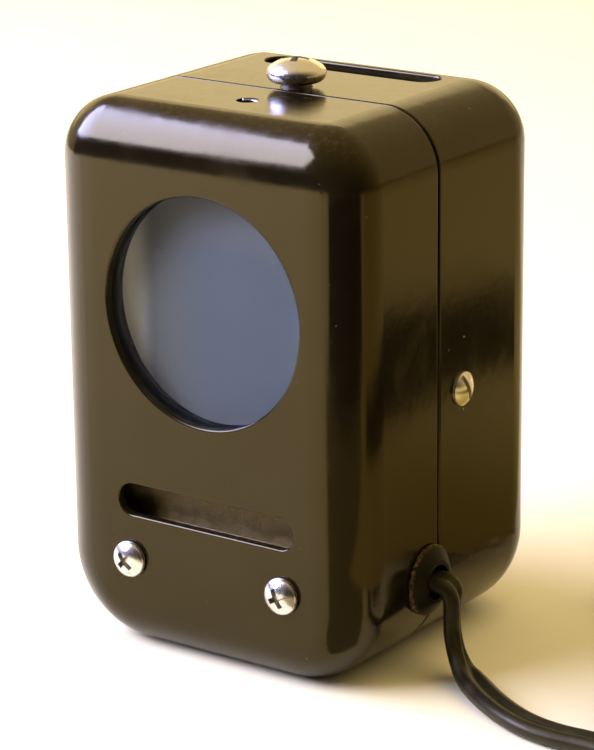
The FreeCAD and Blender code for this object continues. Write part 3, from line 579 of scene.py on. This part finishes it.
def window_edge():
    """The glass's ground rim, coloured nearly black as painted shade for the dark it shows from inside."""
    s = Shade("window_edge", (0.004, 0.010, 0.018), 0.45)
    grain = s.noise(0.5 * MM, 4, 0.6)
    s.set("Base Color", s.mix(grain, (0.001, 0.003, 0.005), (0.003, 0.007, 0.014)))
    s.set("Specular IOR Level", 0.1)
    s.bump(grain, 0.02 * MM)
    return s.material


# The flex, and the pieces made from rings of points

def eased_share(t):
    """A share from nought to one, with a slow start and end."""
    return t * t * (3 - 2 * t)


def coil_points():
    """The coil's control points: in along the floor, up at the middle, and out on top of itself."""
    count = round(COIL_TURNS * POINTS_A_TURN)
    points = []
    for i in range(count + 1):
        turn = COIL_TURNS * i / count
        angle = COIL_START + 2 * math.pi * turn
        radius = COIL_INNER + (COIL_OUTER - COIL_INNER) * abs(2 * i / count - 1)
        radius *= 1 + COIL_WOBBLE * math.sin(2 * angle + COIL_WOBBLE_AT)
        climb = min(1.0, max(0.0, (turn - COIL_TURNS / 2) / COIL_CLIMB_TURNS + 0.5))
        over_tie = math.cos(angle - TIE_ANGLE) > TIE_NEAR
        z = COIL_LOW_Z + COIL_STEP_Z * eased_share(climb) + TIE_T * over_tie
        points.append((COIL_CENTRE[0] + radius * math.cos(angle), COIL_CENTRE[1] + radius * math.sin(angle), z))
    return points


def spline_points(name, points, fineness):
    """The points that a smooth spline through the route passes."""
    curve = bpy.data.curves.new(name, "CURVE")
    curve.dimensions = "3D"
    spline = curve.splines.new("NURBS")
    spline.points.add(len(points) - 1)
    for point, place in zip(spline.points, points):
        point.co = (*place, 1)
    spline.order_u = 3
    spline.use_endpoint_u = True
    spline.resolution_u = fineness
    holder = bpy.data.objects.new(name, curve)
    mesh = bpy.data.meshes.new_from_object(holder)
    line = [v.co.copy() for v in mesh.vertices]
    bpy.data.objects.remove(holder)
    bpy.data.meshes.remove(mesh)
    return line


def flex_section():
    """Twin lobes with a crease on each side, as (wide, thin) pairs."""
    right = []
    for step in range(-LOBE_STEPS, LOBE_STEPS + 1):
        a = math.radians(LOBE_SWEEP * step / LOBE_STEPS)
        right.append((LOBE_SHIFT + LOBE_R * math.cos(a), LOBE_R * math.sin(a)))
    left = [(-u, -v) for u, v in right]
    return right + [(0.0, CREASE)] + left + [(0.0, -CREASE)]


def wide_side_at(distance):
    """The way the flex's wide side points, at a distance along it."""
    for (a, here), (b, after) in zip(WIDE_SIDE, WIDE_SIDE[1:]):
        if distance < b:
            return Vector(here).lerp(Vector(after), eased_share(max(0.0, (distance - a) / (b - a))))
    return Vector(WIDE_SIDE[-1][1])


def skin(mesh, rings):
    """Smooth faces from each ring of points to the next."""
    for here, after in zip(rings, rings[1:]):
        for k in range(len(here)):
            face = mesh.faces.new((here[k - 1], here[k], after[k], after[k - 1]))
            face.smooth = True


def piece_from(name, mesh):
    """The piece that a bmesh makes, with its faces turned outwards."""
    bmesh.ops.recalc_face_normals(mesh, faces=mesh.faces)
    data = bpy.data.meshes.new(name)
    mesh.to_mesh(data)
    mesh.free()
    return link(name, data)


def swept(name, line, section, wide_side):
    """A closed tube of that section along a line; wide_side gives its first axis by distance."""
    mesh = bmesh.new()
    rings = []
    distance = 0.0
    for i, place in enumerate(line):
        before, after = line[max(i - 1, 0)], line[min(i + 1, len(line) - 1)]
        ahead = (after - before).normalized()
        if i:
            distance += (place - line[i - 1]).length
        wide = wide_side(distance)
        wide = (wide - ahead * wide.dot(ahead)).normalized()
        thin = ahead.cross(wide)
        rings.append([mesh.verts.new(place + wide * u + thin * v) for u, v in section])
    skin(mesh, rings)
    mesh.faces.new(rings[0])
    mesh.faces.new(reversed(rings[-1]))
    return piece_from(name, mesh)


def make_flex(material):
    route = CORD_RUN + coil_points() + CORD_TAIL
    line = spline_points("flex_route", route, SPLINE_FINENESS)
    flex = swept("power_flex", line, flex_section(), wide_side_at)
    flex.data.materials.append(material)
    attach(flex, "lamp_house")
    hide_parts("cord_run", "cord_coil", "cord_tail")
    return flex, line


def make_tie():
    """A flat strap round one place in the coil."""
    line = []
    corners = [(TIE_HIGH[0], TIE_LOW[1], -90), (TIE_HIGH[0], TIE_HIGH[1], 0),
               (TIE_LOW[0], TIE_HIGH[1], 90), (TIE_LOW[0], TIE_LOW[1], 180)]
    for r, z, start in corners:
        centre_r = r + (TIE_ROUND if r == TIE_LOW[0] else -TIE_ROUND)
        centre_z = z + (TIE_ROUND if z == TIE_LOW[1] else -TIE_ROUND)
        for k in range(TIE_CORNER_POINTS):
            a = math.radians(start + 90 * k / (TIE_CORNER_POINTS - 1))
            line.append((centre_r, centre_z, math.cos(a), math.sin(a)))
    out = Vector((math.cos(TIE_ANGLE), math.sin(TIE_ANGLE), 0))
    along = Vector((-out.y, out.x, 0))
    middle = Vector((*COIL_CENTRE, 0))
    mesh = bmesh.new()
    rings = []
    for r, z, c, s in line:
        ring = []
        for depth, side in TIE_SECTION:
            reach = TIE_ROUND + TIE_T * depth
            place = middle + out * (r + reach * c) + Vector((0, 0, z + reach * s)) + along * (side * TIE_WIDTH / 2)
            ring.append(mesh.verts.new(place))
        rings.append(ring)
    skin(mesh, rings + rings[:1])
    tie = piece_from("coil_tie", mesh)
    tie.data.materials.append(moulded("tie_rubber", (0.012, 0.012, 0.012), 0.6))
    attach(tie, "lamp_house")
    return tie


def make_thread():
    """The crests of the thread in the small tapped hole."""
    turns = (THREAD_Z[1] - THREAD_Z[0]) / THREAD_PITCH
    line = []
    for k in range(round(turns * THREAD_POINTS_A_TURN) + 1):
        a = 2 * math.pi * k / THREAD_POINTS_A_TURN
        line.append(Vector((THREAD_AT[0] + THREAD_R * math.cos(a), THREAD_AT[1] + THREAD_R * math.sin(a),
                            THREAD_Z[0] + THREAD_PITCH * k / THREAD_POINTS_A_TURN)))
    half = THREAD_PITCH * THREAD_FLANK
    section = [(half, THREAD_ROOT), (THREAD_CREST, -THREAD_DEPTH), (-THREAD_CREST, -THREAD_DEPTH),
               (-half, THREAD_ROOT)]
    thread = swept("tapped_thread", line, section, lambda distance: Vector((0, 0, 1)))
    thread.data.materials.append(nodes["tapped_nut"].data.materials[0])
    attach(thread, "lamp_house")


# Materials on the CAD nodes

def dress(names, material):
    """Gives CAD nodes a material in place of their plain one."""
    for name in names:
        mesh = nodes[name].data
        mesh.materials.clear()
        mesh.materials.append(material)


def dress_all():
    dress(["front_shell", "rear_shell"], black_enamel())
    dress(["joint_band"], bare_metal("dark_steel", (0.10, 0.09, 0.08), 0.4, (0.05, 0.03, 0.02), 0.3))
    dress(["glass_holder"], bare_metal("holder_steel", (0.12, 0.11, 0.10), 0.4, (0.06, 0.04, 0.02), 0.3))
    nickel = bare_metal("nickel", (0.80, 0.77, 0.68), 0.24, (0.34, 0.27, 0.18), 0.08, hollow_darkening=0.9)
    dress(["front_screw_left", "front_screw_right", "side_screw_left", "side_screw_right", "top_screw"], nickel)
    zinc = bare_metal("zinc_steel", (0.50, 0.49, 0.46), 0.35, (0.25, 0.2, 0.14), 0.2)
    dress(["bracket_nut_left", "bracket_nut_right", "side_nut_left", "side_nut_right", "top_nut", "tapped_nut",
           "strain_sleeve"], zinc)
    dress(["snap_ring", "top_clip"], bare_metal("spring_steel", (0.42, 0.41, 0.39), 0.3, (0.2, 0.15, 0.1), 0.15))
    dress(["socket_bracket"], rusty_steel())
    dress(["socket_body"], moulded("phenolic", (0.045, 0.030, 0.024), 0.35))
    dress(["socket_shell", "centre_contact", "terminal_screws"],
          bare_metal("brass", (0.62, 0.47, 0.22), 0.35, (0.25, 0.16, 0.07), 0.3))
    dress(["socket_rivets"], zinc)
    dress(["bulb_cap"], bare_metal("cap_brass", (0.70, 0.56, 0.30), 0.25, (0.35, 0.25, 0.12), 0.15))
    dress(["bulb_insulator"], moulded("black_glass", (0.015, 0.015, 0.017), 0.12, 0.1))
    dress(["bulb_tip"], bare_metal("solder", (0.55, 0.55, 0.56), 0.4, (0.3, 0.3, 0.3), 0.3))
    dress(["bulb_glass", "bulb_stem"], clear_glass())
    dress(["filament"], bare_metal("tungsten", (0.25, 0.25, 0.26), 0.45, (0.1, 0.1, 0.1), 0.2))
    dress(["grommet"], grommet_rubber())
    dress(["inner_lead_left", "inner_lead_right"], moulded("lead_insulation", (0.022, 0.021, 0.019), 0.5))
    dress(["plug_body", "plug_boot"], moulded("plug_plastic", (0.014, 0.013, 0.012), 0.3))
    dress(["plug_blades"], bare_metal("blade_brass", (0.66, 0.55, 0.30), 0.3, (0.4, 0.3, 0.15), 0.2))


def make_window():
    """The glass disc again with its polished face and edge and its ground back as separate finishes."""
    low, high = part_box("blue_glass")
    source = nodes["blue_glass"].data
    mesh = source.copy()
    mesh.name = "window_glass"
    mesh.materials.clear()
    for material in (window_front(), window_back(), window_edge()):
        mesh.materials.append(material)
    at_front, at_back, at_edge = range(3)
    for face in mesh.polygons:
        if face.center.y > high.y - FACE_REACH:
            face.material_index = at_back
        else:
            face.material_index = at_front if face.center.y < low.y + FACE_REACH else at_edge
    glass = link("window_glass", mesh)
    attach(glass, "lamp_house")
    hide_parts("blue_glass")


make_camera()
make_stage()
make_room()
flex, flex_line = make_flex(moulded("cord_rubber", (0.010, 0.010, 0.007), 0.38, 0.25))
dress_all()
make_window()
make_thread()
tie = make_tie()
